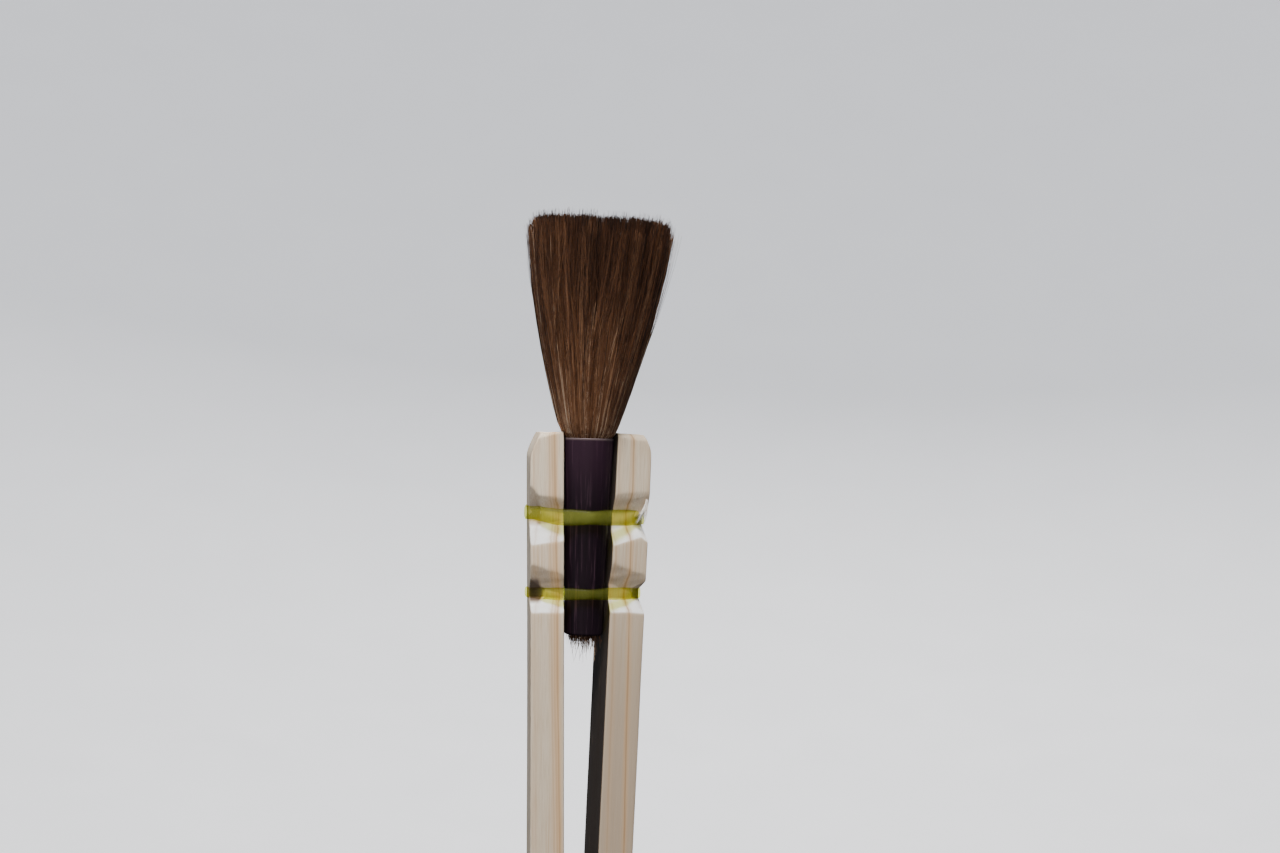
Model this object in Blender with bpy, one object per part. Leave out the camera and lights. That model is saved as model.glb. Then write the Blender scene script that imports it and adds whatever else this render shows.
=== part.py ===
"""A hand-made brush: a sleeved bundle of hair, clamped between two notched wooden sticks by rubber bands.

The brush stands along +Z, with its hair up. +X runs from the left stick to the right one, and +Y runs
from the brush's front to its back. The origin is on the brush's axis, level with the sawn butt ends.
"""

import math

import bmesh
import bpy
from mathutils import Matrix, Vector

# Sticks: two square sticks that touch at the butt and open towards the hair.
STICK_LENGTH = 0.128
LEFT_WIDTH, LEFT_DEPTH = 0.0048, 0.0054
RIGHT_WIDTH, RIGHT_DEPTH = 0.0055, 0.0050
HALF_OPENING = math.radians(1.38)  # each stick leans out from the brush's axis by this
RIGHT_TWIST = math.radians(18.0)  # the right stick is turned about its own length
LEFT_FRONT_Y = -0.0025
RIGHT_FRONT_Y = -0.00115  # where the right stick's inner front edge is
EDGE_BREAK = 0.00015
BUTT_CHAMFER, BUTT_CHAMFER_HEIGHT = 0.0003, 0.0008
CORNER_CUT_RATIO = 0.8  # how far back a corner cut reaches, against how far across it reaches
GAP = 0.0003  # between pieces that touch

# Notches, each cut round the front and the outer front corner of both sticks.
UPPER_BAND_Z = STICK_LENGTH - 0.0119
LOWER_BAND_Z = STICK_LENGTH - 0.0226
TAIL_BAND_Z = 0.012
NOTCH_DEPTH = 0.00085
NOTCH_CORNER = 0.0016
TAIL_NOTCH_DEPTH = 0.0005
TAIL_NOTCH_CORNER = 0.0010

# Rubber bands.
BAND_THICKNESS = 0.0006
WIDE_BAND, NARROW_BAND = 0.0021, 0.0014

# Hair bundle and its sleeve.
MOUTH_Z = STICK_LENGTH - 0.0008
SLEEVE_LENGTH = 0.0275
SLEEVE_WALL = 0.0004
ROOT_TAIL = 0.0045  # how far the cut roots reach below the sleeve
ROOT_TIP_RADIUS = 0.0009
ROOT_BULGE = 0.8  # half way down, the roots are this much of the bore's radius
BINDING_ABOVE_SLEEVE_FOOT = 0.009
BINDING_TURNS, THREAD_DIAMETER = 7, 0.0005
THREAD_CREST = 0.3  # the length of a turn's slope to each side of its crest, in diameters
TUFT_LENGTH = 0.0312
TUFT_BASE_RADIUS = 0.00375
TUFT_FLARE, TUFT_FLARE_LOSS = 0.335, 3.6  # radius = base + FLARE * h - FLARE_LOSS * h * h
TUFT_CUT_SLOPE = math.radians(2.4)  # the flat-cut end falls towards the right stick
TUFT_CUT_ROUND = 0.0006
TUFT_LEAN = 0.0008  # how far the cut end leans to the right
CORE_SHARE = 0.45  # the core's part of the tuft's radius
CORE_CUT_ROUND = 0.0003
SOCKET_ANGLE = math.radians(55)  # the tuft's foot is a cone about its pivot, so that it can bend
SOCKET_CORE_SHARE = 0.6  # the core's part of that cone
SOCKET_CORE_Z = 0.0005
SOCKET_COAT_Z = 0.0010
BAND_DIRECTIONS = 72
SHARP_ANGLE = math.radians(35)
TURN_SEGMENTS = 48


class Stick:
    """One square stick: u runs from its inner face outwards, v from front to back, s along its length."""

    def __init__(self, width, depth, corner, turn, outward, lean):
        self.width = width
        self.depth = depth
        tilt = Matrix.Rotation(lean, 3, "Y")
        turned = Matrix.Rotation(turn, 3, "Z")
        self.corner = tilt @ corner
        self.out = tilt @ turned @ Vector((outward, 0, 0))
        self.back = tilt @ turned @ Vector((0, 1, 0))
        self.up = tilt @ Vector((0, 0, 1))

    def at(self, u, v, s):
        return self.corner + u * self.out + v * self.back + s * self.up

    def room(self, z):
        """How far the inner face is from the brush's axis at height z."""
        return (self.corner - Vector((0, 0, z))).dot(self.out)

    def outline(self, s, front=0.0, corner=EDGE_BREAK, outer=0.0, rim=0.0):
        """The stick's section at s: front and outer are how far those faces are cut back."""
        u0, u1 = rim, self.width - outer - rim
        v0, v1 = front + rim, self.depth - rim
        b = EDGE_BREAK
        return [
            self.at(u0 + b, v0, s),
            self.at(u1 - corner, v0, s),
            self.at(u1, v0 + corner * CORNER_CUT_RATIO, s),
            self.at(u1, v1 - b, s),
            self.at(u1 - b, v1, s),
            self.at(u0 + b, v1, s),
            self.at(u0, v1 - b, s),
            self.at(u0, v0 + b, s),
        ]


def notch(centre, floor, above, below, depth, corner):
    """Four stations of a V notch with a flat floor as tall as the band that lies in it."""
    return [
        (centre - below, 0.0, EDGE_BREAK),
        (centre - floor, depth, corner),
        (centre + floor, depth, corner),
        (centre + above, 0.0, EDGE_BREAK),
    ]


UPPER_NOTCH = notch(UPPER_BAND_Z, 0.00125, 0.0029, 0.0038, NOTCH_DEPTH, NOTCH_CORNER)
LOWER_NOTCH = notch(LOWER_BAND_Z, 0.00090, 0.0037, 0.0028, NOTCH_DEPTH, NOTCH_CORNER)
TAIL_NOTCH = notch(TAIL_BAND_Z, 0.00090, 0.0024, 0.0024, TAIL_NOTCH_DEPTH, TAIL_NOTCH_CORNER)
# Whittled end: (below the top, outer face cut back, front face cut back)
TOP_CUTS = [(0.0030, 0.0, 0.0), (0.0016, 0.0003, 0.0001), (0.0006, 0.0008, 0.0002), (0.0, 0.0014, 0.0005)]


def clear_scene():
    for obj in list(bpy.data.objects):
        bpy.data.objects.remove(obj, do_unlink=True)


def material(name, colour, roughness, metallic=0.0):
    mat = bpy.data.materials.new(name)
    mat.use_nodes = True
    shader = mat.node_tree.nodes["Principled BSDF"]
    shader.inputs["Base Color"].default_value = (*colour, 1.0)
    shader.inputs["Roughness"].default_value = roughness
    shader.inputs["Metallic"].default_value = metallic
    return mat


def add_object(name, rings, mat, closed_loop=False, origin=Vector((0, 0, 0)), smooth=True):
    """A solid skinned over rings of points. A closed loop joins its last ring to its first, like a tube."""
    bm = bmesh.new()
    loops = [[bm.verts.new(point - origin) for point in ring] for ring in rings]
    pairs = list(zip(loops, loops[1:] + loops[:1]))
    if not closed_loop:
        pairs.pop()
        bm.faces.new(reversed(loops[0]))
        bm.faces.new(loops[-1])
    for low, high in pairs:
        count = len(low)
        for i in range(count):
            j = (i + 1) % count
            bm.faces.new((low[i], low[j], high[j], high[i]))
    bmesh.ops.recalc_face_normals(bm, faces=bm.faces)
    mesh = bpy.data.meshes.new(name)
    bm.to_mesh(mesh)
    bm.free()
    if smooth:
        mesh.shade_smooth()
        mesh.set_sharp_from_angle(angle=SHARP_ANGLE)
    mesh.materials.append(mat)
    obj = bpy.data.objects.new(name, mesh)
    obj.location = origin
    bpy.context.scene.collection.objects.link(obj)
    return obj


def pivot(name, place, parent=None):
    """An empty on a joint's axis, which the joint's pieces hang from."""
    empty = bpy.data.objects.new(name, None)
    empty.location = place - (parent.location if parent else Vector((0, 0, 0)))
    empty.parent = parent
    bpy.context.scene.collection.objects.link(empty)
    return empty


def ring(radius, z, lean=0.0, slope=0.0):
    """A circle of points round the brush's axis, leaning over and sloping down towards +X if asked."""
    points = []
    for i in range(TURN_SEGMENTS):
        angle = math.tau * i / TURN_SEGMENTS
        x = radius * math.cos(angle)
        points.append(Vector((x + lean, radius * math.sin(angle), z - x * math.tan(slope))))
    return points


def build_stick(name, stick, mat, origin=Vector((0, 0, 0))):
    stations = TAIL_NOTCH + LOWER_NOTCH + UPPER_NOTCH
    rings = [stick.outline(0.0, rim=BUTT_CHAMFER), stick.outline(BUTT_CHAMFER_HEIGHT)]
    for point in rings[0]:
        point.z = 0.0  # both butt ends are sawn square to the brush's axis
    rings += [stick.outline(s, front, corner) for s, front, corner in stations]
    for drop, outer, front in TOP_CUTS:
        rings.append(stick.outline(STICK_LENGTH - drop, front, EDGE_BREAK + outer * 0.5, outer))
    return add_object(name, rings, mat, origin=origin, smooth=False)


def sleeve_radius(z):
    """The sleeve tapers with the room between the sticks, and keeps the gap to both."""
    return min(LEFT.room(z), RIGHT.room(z)) - GAP


def tuft_radius(h):
    return TUFT_BASE_RADIUS + TUFT_FLARE * h - TUFT_FLARE_LOSS * h * h


def tuft_lean(h):
    return TUFT_LEAN * (h / TUFT_LENGTH) ** 2


def reach(points, direction):
    return max(points, key=lambda point: point.x * direction.x + point.y * direction.y)


def taut_loop(points, away, z):
    """The outline of a band pulled tight round the points, standing away from them by a distance."""
    loop = []
    for i in range(BAND_DIRECTIONS):
        angle = math.tau * i / BAND_DIRECTIONS
        direction = Vector((math.cos(angle), math.sin(angle), 0))
        held = reach(points, direction)
        loop.append(Vector((held.x, held.y, z)) + away * direction)
    return loop


def build_band(name, z, height, depth, corner, around_sleeve, mat):
    points = LEFT.outline(z, depth, corner) + RIGHT.outline(z, depth, corner)
    if around_sleeve:
        points += ring(sleeve_radius(z), z)
    inner, outer = GAP, GAP + BAND_THICKNESS
    corners = [(inner, -0.5), (outer, -0.5), (outer, 0.5), (inner, 0.5)]
    rings = [taut_loop(points, away, z + side * height) for away, side in corners]
    return add_object(name, rings, mat, closed_loop=True)


def build_sleeve(mat, origin):
    foot = MOUTH_Z - SLEEVE_LENGTH
    corners = [(0.0, foot), (0.0, MOUTH_Z), (SLEEVE_WALL, MOUTH_Z), (SLEEVE_WALL, foot)]
    rings = [ring(sleeve_radius(z) - inset, z) for inset, z in corners]
    return add_object("sleeve", rings, mat, closed_loop=True, origin=origin)


def bore_radius(z):
    """What fits inside the sleeve at height z."""
    return sleeve_radius(z) - SLEEVE_WALL - GAP


def build_roots(mat, origin):
    """The roots fill the sleeve, waisted where the thread ties them, and their cut ends show below it."""
    foot = MOUTH_Z - SLEEVE_LENGTH
    low = foot + BINDING_ABOVE_SLEEVE_FOOT
    high = low + BINDING_TURNS * THREAD_DIAMETER
    waist = bore_radius(low) - THREAD_DIAMETER - 2 * GAP
    profile = [
        (ROOT_TIP_RADIUS, foot - ROOT_TAIL),
        (bore_radius(foot) * ROOT_BULGE, foot - ROOT_TAIL / 2),
        (bore_radius(foot), foot),
        (bore_radius(low), low - 3 * GAP),
        (waist, low - GAP),
        (waist, high + GAP),
        (bore_radius(high), high + 3 * GAP),
        (bore_radius(MOUTH_Z), MOUTH_Z - GAP),
    ]
    return add_object("root_hair", [ring(radius, z) for radius, z in profile], mat, origin=origin)


def build_binding(mat, origin):
    """Turns of thread side by side, as one tied ring round the waist of the roots."""
    low = MOUTH_Z - SLEEVE_LENGTH + BINDING_ABOVE_SLEEVE_FOOT
    outer = bore_radius(low)
    inner = outer - THREAD_DIAMETER - GAP
    groove = outer - THREAD_DIAMETER * THREAD_CREST
    profile = [(inner, low), (groove, low)]
    for turn in range(BINDING_TURNS):
        start = low + turn * THREAD_DIAMETER
        profile.append((outer, start + THREAD_DIAMETER * THREAD_CREST))
        profile.append((outer, start + THREAD_DIAMETER * (1 - THREAD_CREST)))
        profile.append((groove, start + THREAD_DIAMETER))
    profile.append((inner, low + BINDING_TURNS * THREAD_DIAMETER))
    rings = [ring(radius, z) for radius, z in profile]
    return add_object("binding_thread", rings, mat, closed_loop=True, origin=origin)


def tuft_rings(radius_at, heights, round_off):
    rings = []
    for h in heights:
        rings.append(ring(radius_at(h), MOUTH_Z + h, tuft_lean(h)))
    top = TUFT_LENGTH
    for drop, inset in ((round_off, 0.0), (0.0, round_off)):
        rings.append(ring(radius_at(top) - inset, MOUTH_Z + top - drop, tuft_lean(top), TUFT_CUT_SLOPE))
    return rings


def build_core(mat, origin):
    """The core hairs, a slim flaring bundle up the middle of the tuft."""

    def radius(h):
        return min(CORE_SHARE * tuft_radius(h), h * math.tan(SOCKET_ANGLE) * SOCKET_CORE_SHARE)

    heights = [SOCKET_CORE_Z, 0.0025, 0.008, 0.016, 0.024]
    return add_object("core_hair", tuft_rings(radius, heights, CORE_CUT_ROUND), mat, origin=origin)


def build_coat(mat, origin):
    """The coat hairs, a thick flaring tube round the core, with a cone-shaped foot."""

    def outer(h):
        return min(tuft_radius(h), h * math.tan(SOCKET_ANGLE))

    def inner(h):
        return min(CORE_SHARE * tuft_radius(h), h * math.tan(SOCKET_ANGLE) * SOCKET_CORE_SHARE) + GAP

    foot = [SOCKET_COAT_Z, 0.0025]
    outside = tuft_rings(outer, foot + [0.0036, 0.008, 0.012, 0.016, 0.020, 0.024, 0.028], TUFT_CUT_ROUND)
    inside = tuft_rings(inner, foot + [0.008, 0.016, 0.024], 0.0)[:-1]
    return add_object("coat_hair", outside + inside[::-1], mat, closed_loop=True, origin=origin)


# The sticks' sections nearly meet at the butt, where the right one's inner face is nearest the left
# one's inner back edge. LEFT_SHARE of the spread there lies left of the brush's axis, so that higher up
# the sleeve has about the same room to both sticks.
SPREAD_AT_BUTT = GAP + (LEFT_FRONT_Y + LEFT_DEPTH - RIGHT_FRONT_Y) * math.tan(RIGHT_TWIST)
LEFT_SHARE = 0.33
LEFT = Stick(
    LEFT_WIDTH,
    LEFT_DEPTH,
    Vector((-LEFT_SHARE * SPREAD_AT_BUTT, LEFT_FRONT_Y, 0)),
    0.0,
    -1,
    -HALF_OPENING,
)
RIGHT = Stick(
    RIGHT_WIDTH,
    RIGHT_DEPTH,
    Vector(((1 - LEFT_SHARE) * SPREAD_AT_BUTT, RIGHT_FRONT_Y, 0)),
    RIGHT_TWIST,
    1,
    HALF_OPENING,
)


def main():
    clear_scene()
    wood = material("pale_wood", (0.72, 0.60, 0.47), 0.62)
    rubber = material("rubber_band", (0.62, 0.55, 0.08), 0.38)
    skin = material("sleeve", (0.035, 0.018, 0.028), 0.42)
    thread = material("binding_thread", (0.62, 0.56, 0.44), 0.85)
    coat = material("coat_hair", (0.13, 0.055, 0.022), 0.55)
    core = material("core_hair", (0.24, 0.13, 0.06), 0.55)
    roots = material("root_hair", (0.20, 0.11, 0.05), 0.60)

    left = build_stick("left_stick", LEFT, wood)
    bands = [
        build_band("upper_band", UPPER_BAND_Z, WIDE_BAND, NOTCH_DEPTH, NOTCH_CORNER, True, rubber),
        build_band("lower_band", LOWER_BAND_Z, NARROW_BAND, NOTCH_DEPTH, NOTCH_CORNER, True, rubber),
        build_band("tail_band", TAIL_BAND_Z, NARROW_BAND, TAIL_NOTCH_DEPTH, TAIL_NOTCH_CORNER, False, rubber),
    ]
    for band in bands:
        band.parent = left

    contact = Vector((-LEFT_SHARE * SPREAD_AT_BUTT + GAP / 2, LEFT_FRONT_Y + LEFT_DEPTH, 0))
    spread = pivot("stick_spread_axis", contact)
    right = build_stick("right_stick", RIGHT, wood, origin=contact)
    right.location = (0, 0, 0)
    right.parent = spread

    mouth = Vector((0, 0, MOUTH_Z))
    head = pivot("head_slide_axis", mouth)
    bend = pivot("tuft_bend_axis", mouth, parent=head)
    head_pieces = [build_sleeve(skin, mouth), build_roots(roots, mouth), build_binding(thread, mouth)]
    tuft_pieces = [build_coat(coat, mouth), build_core(core, mouth)]
    for pieces, holder in ((head_pieces, head), (tuft_pieces, bend)):
        for piece in pieces:
            piece.location = (0, 0, 0)
            piece.parent = holder


main()
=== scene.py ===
"""The looks of a hand-made brush: a sleeved bundle of hair clamped between two sticks by rubber bands.

The frame holds the sizes and the joints. This script adds carved wood, rubber, the sleeve's skin and
single hairs around it. The brush stands along +Z with its hair up, and -Y is its front.
"""

import math

import bpy
import numpy as np
from mathutils import Matrix, Vector


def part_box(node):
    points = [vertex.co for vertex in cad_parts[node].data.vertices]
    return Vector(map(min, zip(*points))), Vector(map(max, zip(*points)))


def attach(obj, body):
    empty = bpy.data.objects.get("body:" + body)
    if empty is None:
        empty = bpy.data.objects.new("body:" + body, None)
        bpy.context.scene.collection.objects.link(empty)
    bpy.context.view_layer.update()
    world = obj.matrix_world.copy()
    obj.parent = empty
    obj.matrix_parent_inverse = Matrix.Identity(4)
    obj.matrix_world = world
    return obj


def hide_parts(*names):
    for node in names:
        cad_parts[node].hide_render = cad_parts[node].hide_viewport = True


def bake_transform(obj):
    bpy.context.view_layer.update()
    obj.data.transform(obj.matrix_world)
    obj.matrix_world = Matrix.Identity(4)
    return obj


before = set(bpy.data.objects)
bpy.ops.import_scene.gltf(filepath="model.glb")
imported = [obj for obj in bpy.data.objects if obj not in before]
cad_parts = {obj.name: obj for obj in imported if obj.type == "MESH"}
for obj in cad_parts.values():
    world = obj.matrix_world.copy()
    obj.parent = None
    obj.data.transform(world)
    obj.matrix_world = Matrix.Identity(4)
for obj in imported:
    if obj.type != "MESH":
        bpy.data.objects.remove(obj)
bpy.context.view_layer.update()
MM = 0.001
rng = np.random.default_rng(41)

# How the sticks stand, as in the CAD model.
HALF_OPENING = math.radians(1.38)
RIGHT_TWIST = math.radians(18.0)

# Heights read from the frame.
SLEEVE_LOW, SLEEVE_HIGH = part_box("sleeve")
MOUTH_Z = SLEEVE_HIGH.z
SLEEVE_FOOT_Z = SLEEVE_LOW.z
MOUTH_RADIUS = (SLEEVE_HIGH.x - SLEEVE_LOW.x) / 2
TUFT_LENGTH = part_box("coat_hair")[1].z - MOUTH_Z
FOOT_RADIUS_SHARE = 0.80  # the sleeve's foot against its mouth


# ---------------- meshes

def new_object(name, points, faces, material):
    """A smooth mesh object from points and arrays of faces, one array for each number of corners."""
    mesh = bpy.data.meshes.new(name)
    counts = np.concatenate([np.full(len(group), group.shape[1]) for group in faces])
    corners = np.concatenate([group.ravel() for group in faces])
    starts = np.concatenate([[0], np.cumsum(counts)[:-1]])
    mesh.vertices.add(len(points))
    mesh.vertices.foreach_set("co", np.asarray(points, np.float32).ravel())
    mesh.loops.add(len(corners))
    mesh.loops.foreach_set("vertex_index", corners.astype(np.int32))
    mesh.polygons.add(len(counts))
    mesh.polygons.foreach_set("loop_start", starts.astype(np.int32))
    mesh.update(calc_edges=True)
    mesh.validate()
    mesh.shade_smooth()
    mesh.materials.append(material)
    obj = bpy.data.objects.new(name, mesh)
    bpy.context.scene.collection.objects.link(obj)
    return obj


def full_turn(count):
    """Angles all the way round, evenly spaced."""
    return np.linspace(0, math.tau, count, endpoint=False)


def round_rings(radius, angle, z):
    """Rings of points round the brush's axis."""
    return np.stack(np.broadcast_arrays(radius * np.cos(angle), radius * np.sin(angle), z), -1)


def ring_quads(low, high):
    """The four-cornered faces between rings, from the numbers of the points below and above them."""
    return np.stack([low, np.roll(low, -1, -1), np.roll(high, -1, -1), high], -1)


def skin(rings, closed=False):
    """Points and faces of a surface over rings of points. An open one gets a flat cap at both ends."""
    count, around = rings.shape[:2]
    index = np.arange(count * around).reshape(count, around)
    low, high = (index, np.roll(index, -1, 0)) if closed else (index[:-1], index[1:])
    quads = ring_quads(low, high).reshape(-1, 4)
    points = rings.reshape(-1, 3)
    if closed:
        return points, [quads]
    first, last = count * around, count * around + 1
    points = np.concatenate([points, rings[0].mean(0)[None], rings[-1].mean(0)[None]])
    bottom = np.stack([np.roll(index[0], -1), index[0], np.full(around, first)], -1)
    top = np.stack([index[-1], np.roll(index[-1], -1), np.full(around, last)], -1)
    return points, [quads, np.concatenate([bottom, top])]


def point_attribute(obj, name, values):
    """Stores a number or a vector on each point for the material to read."""
    kind = "FLOAT" if values.ndim == 1 else "FLOAT_VECTOR"
    attribute = obj.data.attributes.new(name, kind, "POINT")
    attribute.data.foreach_set("value" if kind == "FLOAT" else "vector", values.astype(np.float32).ravel())


def waves(x, y, count=7, seed=0):
    """Smooth noise of about -1 to 1: a sum of sine waves that run in different directions."""
    random = np.random.default_rng(seed)
    total = np.zeros(np.broadcast(x, y).shape)
    for _ in range(count):
        kx, ky = random.normal(0, 1, 2)
        total += np.sin(kx * x + ky * y + random.uniform(0, math.tau))
    return total / math.sqrt(count)


def smoothstep(value, start, end):
    """0 up to start, 1 from end on, smooth in between."""
    t = np.clip((value - start) / (end - start), 0, 1)
    return t * t * (3 - 2 * t)


# ---------------- materials

class Shader:
    """A material's nodes, with short calls for the ones used here."""

    def __init__(self, name):
        self.material = bpy.data.materials.new(name)
        self.material.use_nodes = True
        self.nodes = self.material.node_tree.nodes
        self.links = self.material.node_tree.links
        self.surface = self.nodes["Principled BSDF"]

    def node(self, kind, inputs=(), **settings):
        node = self.nodes.new(kind)
        for key, value in settings.items():
            setattr(node, key, value)
        for key, value in dict(inputs).items():
            self.put(node.inputs[key], value)
        return node

    def put(self, socket, value):
        if isinstance(value, bpy.types.NodeSocket):
            self.links.new(value, socket)
        else:
            socket.default_value = value

    def math(self, operation, a, b=0.0):
        return self.node("ShaderNodeMath", {0: a, 1: b}, operation=operation).outputs[0]

    def times(self, a, b):
        return self.math("MULTIPLY", a, b)

    def fade(self, value, start, end):
        """0 at start, 1 at end, smooth in between."""
        inputs = {"Value": value, "From Min": start, "From Max": end}
        return self.node("ShaderNodeMapRange", inputs, interpolation_type="SMOOTHSTEP").outputs["Result"]

    def mix(self, factor, a, b):
        node = self.node("ShaderNodeMix", {"Factor": factor}, data_type="RGBA")
        for socket, value in zip([s for s in node.inputs if s.type == "RGBA"], (a, b)):
            self.put(socket, value if isinstance(value, bpy.types.NodeSocket) else (*value, 1.0))
        return next(s for s in node.outputs if s.type == "RGBA")

    def ramp(self, factor, stops):
        node = self.node("ShaderNodeValToRGB", {0: factor})
        elements = node.color_ramp.elements
        while len(elements) < len(stops):
            elements.new(0.5)
        for element, (position, colour) in zip(elements, stops):
            element.position = position
            element.color = (*colour, 1.0)
        return node.outputs[0]

    def attribute(self, name, output="Fac"):
        return self.node("ShaderNodeAttribute", attribute_name=name).outputs[output]

    def stretched(self, vector, scale):
        return self.node("ShaderNodeMapping", {"Vector": vector, "Scale": scale}).outputs[0]

    def noise(self, vector, scale, detail=3.0, roughness=0.5):
        inputs = {"Vector": vector, "Scale": scale, "Detail": detail, "Roughness": roughness}
        return self.node("ShaderNodeTexNoise", inputs).outputs[0]

    def bump(self, height, strength, distance):
        node = self.node("ShaderNodeBump", {"Strength": strength, "Distance": distance, "Height": height})
        self.put(self.surface.inputs["Normal"], node.outputs[0])

    def set(self, **values):
        for name, value in values.items():
            self.put(self.surface.inputs[name.replace("_", " ")], value)


WOOD_COLOURS = [(0.30, (0.58, 0.45, 0.32)), (0.50, (0.73, 0.605, 0.455)), (0.72, (0.80, 0.69, 0.55))]
STREAK, PATCH = (0.62, 0.44, 0.27), (0.64, 0.47, 0.32)
RING_HALO, RING_CORE = (0.66, 0.42, 0.21), (0.34, 0.16, 0.06)
# The first colour is painted shade for the light's falloff down a stick; the other two paint light and shade
# on the notches' flanks.
FALLOFF_SHADE, LIT_FRESH_CUT, SHADED_FLANK = (0.47, 0.355, 0.25), (0.97, 0.97, 0.96), (0.30, 0.22, 0.15)
# The first colour is old ink with painted shade, for the narrow gap between the sticks.
# The second colour is painted shade for the deep corner cuts.
INK_AND_GAP_SHADE, CORNER_SHADE = (0.014, 0.009, 0.008), (0.125, 0.085, 0.060)
FALLOFF_REACH = 42.0  # in mm below the stick's top, where the painted shade for the light's falloff down the stick is complete

# Each growth line: (u at the stick's top, drift in u for each mm further down, strength)
LEFT_LINES = [(1.36, -0.0122, 1.0), (1.72, -0.0122, 0.5), (2.15, -0.0122, 0.45), (4.3, -0.006, 0.25)]
RIGHT_LINES = [(2.40, 0.026, 0.9), (0.30, 0.017, 0.35), (4.9, 0.030, 0.2)]


def wood_material(name, lines, stick, inner_stain, falloff_shading):
    """Pale split wood. It reads where a point is in the stick, in mm: u across, v front to back, s along."""
    m = Shader(name)
    grain = m.attribute("grain", "Vector")
    u, v, s = m.node("ShaderNodeSeparateXYZ", {0: grain}).outputs
    fibres = m.noise(m.stretched(grain, (9.0, 9.0, 0.28)), 1.0, 4.0, 0.62)
    streaks = m.noise(m.stretched(grain, (2.6, 2.6, 0.05)), 1.0, 3.0, 0.5)
    patches = m.noise(m.stretched(grain, (0.5, 0.5, 0.09)), 1.0, 2.0, 0.5)
    colour = m.ramp(fibres, WOOD_COLOURS)
    colour = m.mix(m.fade(streaks, 0.50, 0.76), colour, STREAK)
    colour = m.mix(m.times(m.fade(patches, 0.48, 0.74), 0.55), colour, PATCH)
    down = m.math("SUBTRACT", stick.length / MM, s)
    # Painted shade: the lower part is painted darker, for the light that falls off down the stick.
    falloff_shade = m.times(m.fade(down, 0.0, FALLOFF_REACH), falloff_shading)
    colour = m.mix(falloff_shade, colour, FALLOFF_SHADE)
    # The flanks that face up are painted near white: fresh cut wood, and painted light from above. The ones
    # that face down are painted darker, as painted shade.
    colour = m.mix(m.attribute("fresh_and_lit"), colour, LIT_FRESH_CUT)
    colour = m.mix(m.attribute("shade_and_wear"), colour, SHADED_FLANK)
    wander = m.times(m.math("SUBTRACT", streaks, 0.5), 0.55)
    for start, drift, strength in lines:
        # The growth rings lie aslant in the stick, so a cut into its front moves their line inwards.
        ring = m.math("ADD", u, m.times(v, 0.5))
        place = m.math("ADD", m.times(down, drift), start)
        away = m.math("ABSOLUTE", m.math("ADD", m.math("SUBTRACT", ring, place), wander))
        core = m.math("SUBTRACT", 1.0, m.fade(away, 0.02, 0.21))
        halo = m.math("SUBTRACT", 1.0, m.fade(away, 0.06, 0.75))
        colour = m.mix(m.times(halo, 0.62 * strength), colour, RING_HALO)
        colour = m.mix(m.times(core, 0.62 * strength), colour, RING_CORE)
    # Old ink and painted shade darken, in patches, the face that the sticks turn to each other, in the narrow
    # gap between them.
    inked_and_shaded = m.math("SUBTRACT", 1.0, m.fade(u, 0.02, 0.16))
    inked_and_shaded = m.times(inked_and_shaded, m.fade(m.math("ADD", patches, 0.25), 0.40, 0.62))
    colour = m.mix(m.times(inked_and_shaded, inner_stain), colour, INK_AND_GAP_SHADE)
    # Painted shade in the recess of the corner cuts.
    colour = m.mix(m.attribute("stain"), colour, CORNER_SHADE)
    m.set(Base_Color=colour, Roughness=m.math("ADD", m.times(fibres, 0.22), 0.46))
    m.bump(fibres, 0.30, 0.00012)
    return m.material


def rubber_material(name, clearness):
    """Clear yellow rubber. The clearness is the share of light that goes straight through a surface."""
    m = Shader(name)
    where = m.node("ShaderNodeTexCoord").outputs["Object"]
    cloud = m.noise(where, 700.0, 3.0)
    colour = m.ramp(cloud, [(0.35, (0.41, 0.44, 0.065)), (0.65, (0.54, 0.58, 0.110))])
    # Painted light and shade across the band: its colour is bright along the middle of the outside and dark
    # olive at the edges and inside.
    colour = m.mix(m.attribute("core"), (0.10, 0.11, 0.012), colour)
    # Painted shade where the band turns the left front corner, in the corner cut.
    colour = m.mix(m.attribute("band_corner_shade"), colour, (0.10, 0.070, 0.045))
    m.set(Base_Color=colour, Roughness=0.40, Specular_IOR_Level=0.25)
    m.bump(m.noise(where, 2600.0, 2.0), 0.15, 0.00005)
    # The painted shade also dims the light that the band lets through there.
    tinge = m.mix(m.attribute("band_corner_shade"), (0.93, 0.94, 0.46), (0.80, 0.72, 0.62))
    clear = m.node("ShaderNodeBsdfTransparent", {"Color": tinge})
    blend = m.node("ShaderNodeMixShader", {"Fac": clearness, 1: m.surface.outputs[0], 2: clear.outputs[0]})
    m.put(m.nodes["Material Output"].inputs["Surface"], blend.outputs[0])
    return m.material


SLEEVE_COLOURS = [
    (0.35, (0.007, 0.0035, 0.006)),
    (0.56, (0.011, 0.005, 0.009)),
    (0.74, (0.060, 0.031, 0.045)),
]


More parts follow.
